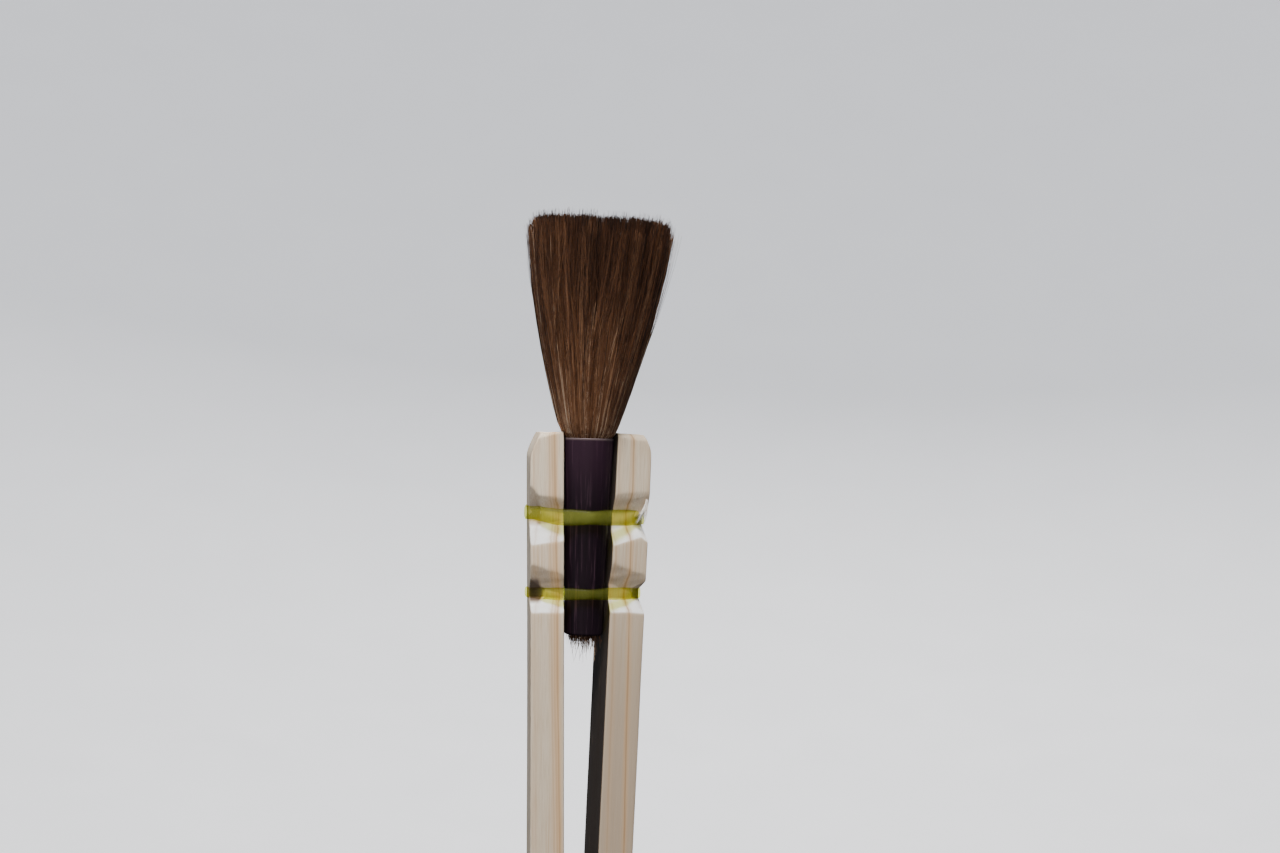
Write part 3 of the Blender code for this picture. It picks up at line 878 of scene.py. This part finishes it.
def build_roots(material):
    """Cut roots that fray out below the sleeve: most are short, and a few hang down further."""
    count = ROOT_STRANDS
    share = np.linspace(0, 1, ROOT_STEPS)[None, :]
    reach = np.abs(rng.normal(1.0, 0.6, count)) * MM
    reach[:LONG_ROOTS] = rng.uniform(1.8, 4.6, LONG_ROOTS) * MM
    foot_radius = sleeve_radius(SLEEVE_FOOT_Z) - SLEEVE_WALL
    place = disc(np.sqrt(rng.uniform(0, 0.94, count)) * foot_radius, rng.uniform(0, math.tau, count))
    splay = rng.normal(0, 0.08, (count, 2)) - 0.03 * place / foot_radius
    fall = (reach[:, None] + ROOT_START) * share
    xy = place[:, None] + splay[:, None] * (fall * smoothstep(share, 0.3, 1.0))[..., None]
    paths = np.concatenate([xy, (SLEEVE_FOOT_Z + ROOT_START - fall)[..., None]], -1)
    tone = rng.normal(0.40, 0.12, count)
    tone[:LONG_ROOTS] += 0.30
    tints = np.clip(tone[:, None] + 0.32 * smoothstep(share, 0.60, 1.0), 0.05, 0.98)
    radii = HAIR_RADIUS * rng.uniform(0.9, 1.5, count)
    frays = strand_mesh("root_frays", paths, radii, tints, material, tip=0.25)
    angle = full_turn(96)[None, :]
    z = np.linspace(SLEEVE_FOOT_Z - 0.3 * MM, MOUTH_Z - 0.6 * MM, 60)[:, None]
    radius = sleeve_radius(z) - SLEEVE_WALL - ROOT_CLEARANCE - TIE_DEPTH * waist_profile(z)
    radius = radius * (1 + 0.02 * waves(angle * 24, z * 80, seed=44))
    radius = radius * np.where(z < SLEEVE_FOOT_Z, 0.86, 1.0)
    points, faces = skin(round_rings(radius, angle, z))
    bundle = new_object("root_bundle", points, faces, material)
    point_attribute(bundle, "tint", 0.20 + 0.05 * waves(points[:, 0] * 9000, points[:, 1] * 9000, seed=45))
    for obj in (frays, bundle):
        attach(obj, "head")
        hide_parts("root_hair")


def waist_profile(z):
    """1 where the thread ties the roots, 0 away from it."""
    low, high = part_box("binding_thread")
    return smoothstep(z, low.z - TIE_REACH, low.z) * (1 - smoothstep(z, high.z, high.z + TIE_REACH))


THREAD_TURNS, STEPS_A_TURN = 7, 40
THREAD_RADIUS = 0.20 * MM


def build_thread(material):
    """Turns of thread wound side by side round the roots."""
    low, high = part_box("binding_thread")
    coil = (high.x - low.x) / 2 - THREAD_RADIUS
    t = np.linspace(0, 1, THREAD_TURNS * STEPS_A_TURN)
    angle = math.tau * THREAD_TURNS * t
    z = low.z + THREAD_RADIUS + (high.z - low.z - 2 * THREAD_RADIUS) * t
    path = round_rings(coil, angle, z)
    outward = round_rings(1.0, angle, 0.0)
    ply = full_turn(12)
    twist = 1 + 0.12 * np.cos(2 * ply[None, :] + angle[:, None] * 9)
    rings = path[:, None] + THREAD_RADIUS * twist[..., None] * (
        np.cos(ply)[None, :, None] * outward[:, None] + np.sin(ply)[None, :, None] * np.array([0.0, 0.0, 1.0])
    )
    points, faces = skin(rings[:, ::-1])
    obj = new_object("thread_turns", points, faces, material)
    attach(obj, "head")
    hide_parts("binding_thread")


# ---------------- rubber bands

def section_at(rings, z):
    """A stick's outline where it crosses height z."""
    nearest = np.argmin(np.abs(rings[..., 2].mean(1) - z))
    return rings[nearest, :, :2]


def taut_loop(points, count):
    """The closed outline of a band pulled tight round the points, evenly spaced, as x and y."""
    angle = full_turn(1440)
    held = points[np.argmax(points @ np.stack([np.cos(angle), np.sin(angle)]), 0)]
    closed = np.concatenate([held, held[:1]])
    step = np.linalg.norm(np.diff(closed, axis=0), axis=1)
    along = np.concatenate([[0], np.cumsum(step)])
    even = np.linspace(0, along[-1], count, endpoint=False)
    loop = np.stack([np.interp(even, along, closed[:, axis]) for axis in (0, 1)], -1)
    for _ in range(6):
        loop = 0.5 * loop + 0.25 * (np.roll(loop, 1, 0) + np.roll(loop, -1, 0))
    return loop


BAND_POINTS, BAND_SECTION_POINTS = 420, 20
BAND_CLEARANCE = 0.03 * MM


def build_band(
    name, left_rings, right_rings, height, thickness, left_rise, band_corner_shade, material, around_sleeve, seed
):
    """A flat rubber band. It is squeezed narrower where it turns the outer corners of the notches."""
    height, thickness, left_rise = height * MM, thickness * MM, left_rise * MM
    low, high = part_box(name)
    z = (low.z + high.z) / 2
    points = np.concatenate([section_at(left_rings, z), section_at(right_rings, z)])
    if around_sleeve:
        points = np.concatenate([points, disc(full_radius(z) - PINCH + 0.04 * MM, full_turn(90))])
    loop = taut_loop(points, BAND_POINTS)
    tangent = np.roll(loop, -1, 0) - np.roll(loop, 1, 0)
    tangent /= np.linalg.norm(tangent, axis=1)[:, None]
    outward = np.stack([tangent[:, 1], -tangent[:, 0]], -1)
    bend = np.abs(np.cross(np.roll(tangent, 4, 0), np.roll(tangent, -4, 0)))
    squeeze = np.convolve(np.concatenate([bend[-12:], bend, bend[:12]]), np.ones(25) / 25, "valid")
    squeeze = squeeze / squeeze.max()
    place = np.arange(len(loop)) * math.tau / len(loop)
    tall = height * (1 - 0.24 * squeeze) * (1 + 0.03 * waves(place * 3, 0 * place, seed=seed))
    over_side = smoothstep(np.abs(loop[:, 0]), 5.6 * MM, 7.6 * MM)
    thick = thickness * (1 - 0.58 * over_side)
    left_side = smoothstep(-loop[:, 0], 3.6 * MM, 8.0 * MM)
    centre = z + left_rise * left_side + 0.05 * MM * waves(place * 2, 0 * place, seed=seed + 1)
    around = full_turn(BAND_SECTION_POINTS)
    # A rounded oblong: out from the stick, and up.
    out = np.sign(np.cos(around)) * np.abs(np.cos(around)) ** 0.85
    up = np.sign(np.sin(around)) * np.abs(np.sin(around)) ** 0.90
    xy = loop[:, None] + outward[:, None] * (thick[:, None] * (0.5 + 0.5 * out) + BAND_CLEARANCE)[..., None]
    zs = centre[:, None] + tall[:, None] / 2 * up
    rings = np.concatenate([xy, zs[..., None]], -1)
    points, faces = skin(rings, closed=True)
    obj = new_object(name + "_rubber", points, faces, material)
    # 1 along the middle of the outside, 0 at the edges and all over the inside: the painted light of the
    # band's rounded section, and its painted shade.
    core = smoothstep(np.cos(around), 0.35, 0.95)
    point_attribute(obj, "core", np.tile(core, len(loop)))
    on_left = smoothstep(-loop[:, 0], 5.4 * MM, 6.6 * MM)
    in_front = 1 - smoothstep(loop[:, 1], -0.6 * MM, 0.8 * MM)
    # Painted shade on the band where it passes the left front corner.
    band_shade = band_corner_shade * (on_left * in_front)
    point_attribute(obj, "band_corner_shade", np.repeat(band_shade[:, None], len(around), 1).ravel())
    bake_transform(obj)
    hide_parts(name)


# ---------------- stage, lights and camera

FLOOR_RADIUS, SWEEP, WALL_TOP = 0.30, 0.95, 1.7
# A faint glow evens out the light on the sweep, where the lamps hardly reach.
GLOW_COLOUR, GLOW = (0.93, 0.94, 1.0, 1.0), 0.62


def build_stage():
    """A pale floor that sweeps up into a round backdrop far behind the brush on every side."""
    material = Shader("pale_floor")
    where = material.node("ShaderNodeTexCoord").outputs["Object"]
    speckle = material.noise(where, 40.0, 2.0)
    paper = material.ramp(speckle, [(0.3, (0.70, 0.70, 0.71)), (0.7, (0.74, 0.74, 0.75))])
    material.set(Base_Color=paper, Roughness=0.9, Emission_Color=GLOW_COLOUR, Emission_Strength=GLOW)
    profile = [(FLOOR_RADIUS, 0.0)]
    for turn in np.linspace(0, math.pi / 2, 24)[1:]:
        profile.append((FLOOR_RADIUS + SWEEP * math.sin(turn), SWEEP * (1 - math.cos(turn))))
    profile.append((FLOOR_RADIUS + SWEEP, WALL_TOP))
    radius, height = np.array(profile).T
    rings = round_rings(radius[:, None], full_turn(128), height[:, None])
    count, around = rings.shape[:2]
    index = np.arange(count * around).reshape(count, around)
    quads = ring_quads(index[:-1], index[1:]).reshape(-1, 4)[:, ::-1]
    points = np.concatenate([rings.reshape(-1, 3), np.zeros((1, 3))])
    centre = np.stack([index[0], np.roll(index[0], -1), np.full(around, len(points) - 1)], -1)
    floor = new_object("pale_floor", points, [quads, centre], material.material)
    # The brush was seen in dark surroundings, so the pale floor doesn't light it from below.
    floor.visible_diffuse = False
    floor.visible_glossy = False
    # Two of the lamps hang low, beyond the sweep, and shine through it.
    floor.visible_shadow = False


def add_light(name, place, target, size, power, colour=(1.0, 1.0, 1.0)):
    data = bpy.data.lights.new(name, "AREA")
    data.size = size
    data.energy = power
    data.color = colour
    light = bpy.data.objects.new(name, data)
    light.location = place
    light.rotation_euler = (Vector(target) - Vector(place)).to_track_quat("-Z", "Y").to_euler()
    light.visible_camera = False
    bpy.context.scene.collection.objects.link(light)


def build_lights():
    """A key high in front, low enough to reach the notches past the tuft, and weak light all round."""
    top = (0, 0, 0.120)
    add_light("key", (-0.045, -0.215, 0.52), top, 0.13, 4.0, (1.0, 0.985, 0.96))
    add_light("front_fill", (-0.30, -1.60, -0.05), top, 0.9, 6.2, (1.0, 0.93, 0.84))
    add_light("side_fill", (-1.45, -0.40, 0.35), top, 0.8, 5.0, (0.86, 0.92, 1.0))
    add_light("back_key", (0.14, 0.55, 0.50), top, 0.35, 3.6, (1.0, 0.985, 0.96))
    add_light("floor_wash", (0.0, 0.0, 1.5), (0, 0, 0), 1.2, 5.0)
    world = bpy.data.worlds.new("soft_room")
    world.use_nodes = True
    world.node_tree.nodes["Background"].inputs["Color"].default_value = (0.72, 0.84, 1.0, 1.0)
    world.node_tree.nodes["Background"].inputs["Strength"].default_value = 0.17
    bpy.context.scene.world = world


CAMERA_AZIMUTH = math.radians(-8.0)
CAMERA_ROLL = math.radians(1.38)
CAMERA_DISTANCE = 0.40
CAMERA_LENS = 80.0
MOUTH_LEFT_OF_CENTRE = 7.33 * MM
MOUTH_BELOW_CENTRE = 1.62 * MM


def build_camera():
    """A level camera in front of the brush, a little to its left, rolled so that the left stick is plumb."""
    right = Vector((math.cos(CAMERA_AZIMUTH), math.sin(CAMERA_AZIMUTH), 0))
    back = Vector((math.sin(CAMERA_AZIMUTH), -math.cos(CAMERA_AZIMUTH), 0))
    plumb = Vector((0, 0, 1))
    across = right * math.cos(CAMERA_ROLL) + plumb * math.sin(CAMERA_ROLL)
    up = plumb * math.cos(CAMERA_ROLL) - right * math.sin(CAMERA_ROLL)
    place = Vector((0, 0, MOUTH_Z)) + back * CAMERA_DISTANCE
    place += across * MOUTH_LEFT_OF_CENTRE + up * MOUTH_BELOW_CENTRE
    data = bpy.data.cameras.new("camera")
    data.lens = CAMERA_LENS
    data.clip_start = 0.01
    camera = bpy.data.objects.new("camera", data)
    camera.matrix_world = Matrix.Translation(place) @ Matrix((across, up, back)).transposed().to_4x4()
    bpy.context.scene.collection.objects.link(camera)
    bpy.context.scene.camera = camera


# ---------------- the brush

def main():
    build_camera()
    build_lights()
    build_stage()

    left = Stick("left_stick", 0.0, -1, -HALF_OPENING)
    right = Stick("right_stick", RIGHT_TWIST, 1, HALF_OPENING)
    for stick in (left, right):
        INNER_FACES.append((stick.corner, stick.out, stick.length))
    # Each cut: depth, floor, above, below, skews of the floor and both flanks, shift
    # A notch's last two numbers are painted shade: in its corner cut, and on its flanks that face down.
    left_notches = [
        Notch("upper_band", Cut(0.95, 0.80, 2.9, 3.7, (0.0, 0.05, 0.04)),
              Cut(1.75, 0.7, 4.2, 3.2, shift=0.4), stain=0.30, shade_and_wear=0.08),
        Notch("lower_band", Cut(0.95, 0.55, 3.5, 2.7, (0.0, 0.10, 0.0)),
              Cut(2.10, 0.5, 2.4, 2.2, shift=0.1), stain=1.0, shade_and_wear=0.65),
        Notch("tail_band", Cut(0.50, 0.80, 2.4, 2.3, (0.04, 0.0, 0.0)), Cut(1.0, 0.7, 2.3, 2.3)),
    ]
    right_notches = [
        Notch("upper_band", Cut(0.95, 0.85, 3.5, 3.2, (0.0, 0.03, -0.14)),
              Cut(1.90, 0.6, 2.2, 3.0, shift=-0.4)),
        Notch("lower_band", Cut(0.95, 0.60, 3.6, 2.7, (0.0, -0.10, 0.0)),
              Cut(1.85, 0.6, 1.9, 2.9, shift=0.1), stain=0.08, shade_and_wear=0.35),
        Notch("tail_band", Cut(0.50, 0.80, 2.3, 2.5, (-0.03, 0.0, 0.0)), Cut(1.0, 0.7, 2.3, 2.3)),
    ]
    # The inner number sets how much old ink and painted shade darken each stick's inner face.
    # The last number sets the painted shade towards each stick's foot, for the light's falloff.
    left_wood = wood_material("left_wood", LEFT_LINES, left, inner_stain=0.75, falloff_shading=0.30)
    right_wood = wood_material("right_wood", RIGHT_LINES, right, inner_stain=0.96, falloff_shading=0.85)
    left_rings = build_stick("left_stick_wood", "left_stick", left, left_notches, LEFT_TOP, left_wood, 100)
    right_rings = build_stick(
        "right_stick_wood", "right_stick", right, right_notches, RIGHT_TOP, right_wood, 200)
    build_splinters(right, right_notches[0], right_wood)

    # Each band: height, thickness, how much higher it lies on the left, how much painted shade darkens its
    # left front corner
    upper_rubber, lower_rubber = rubber_material("upper_rubber", 0.80), rubber_material("lower_rubber", 0.88)
    build_band("upper_band", left_rings, right_rings, 2.25, 0.90, 0.55, 0.10, upper_rubber, True, 51)
    build_band("lower_band", left_rings, right_rings, 1.75, 0.75, 0.0, 0.80, lower_rubber, True, 52)
    build_band("tail_band", left_rings, right_rings, 1.60, 0.65, 0.0, 0.25, upper_rubber, False, 53)

    band_heights = [left_notches[0].z, left_notches[1].z]
    build_sleeve(sleeve_material(), band_heights)
    hair = hair_material("brown_hair")
    build_packed_hair(hair)
    build_tuft(hair)
    build_strays(hair)
    build_roots(hair)
    build_thread(thread_material())


main()
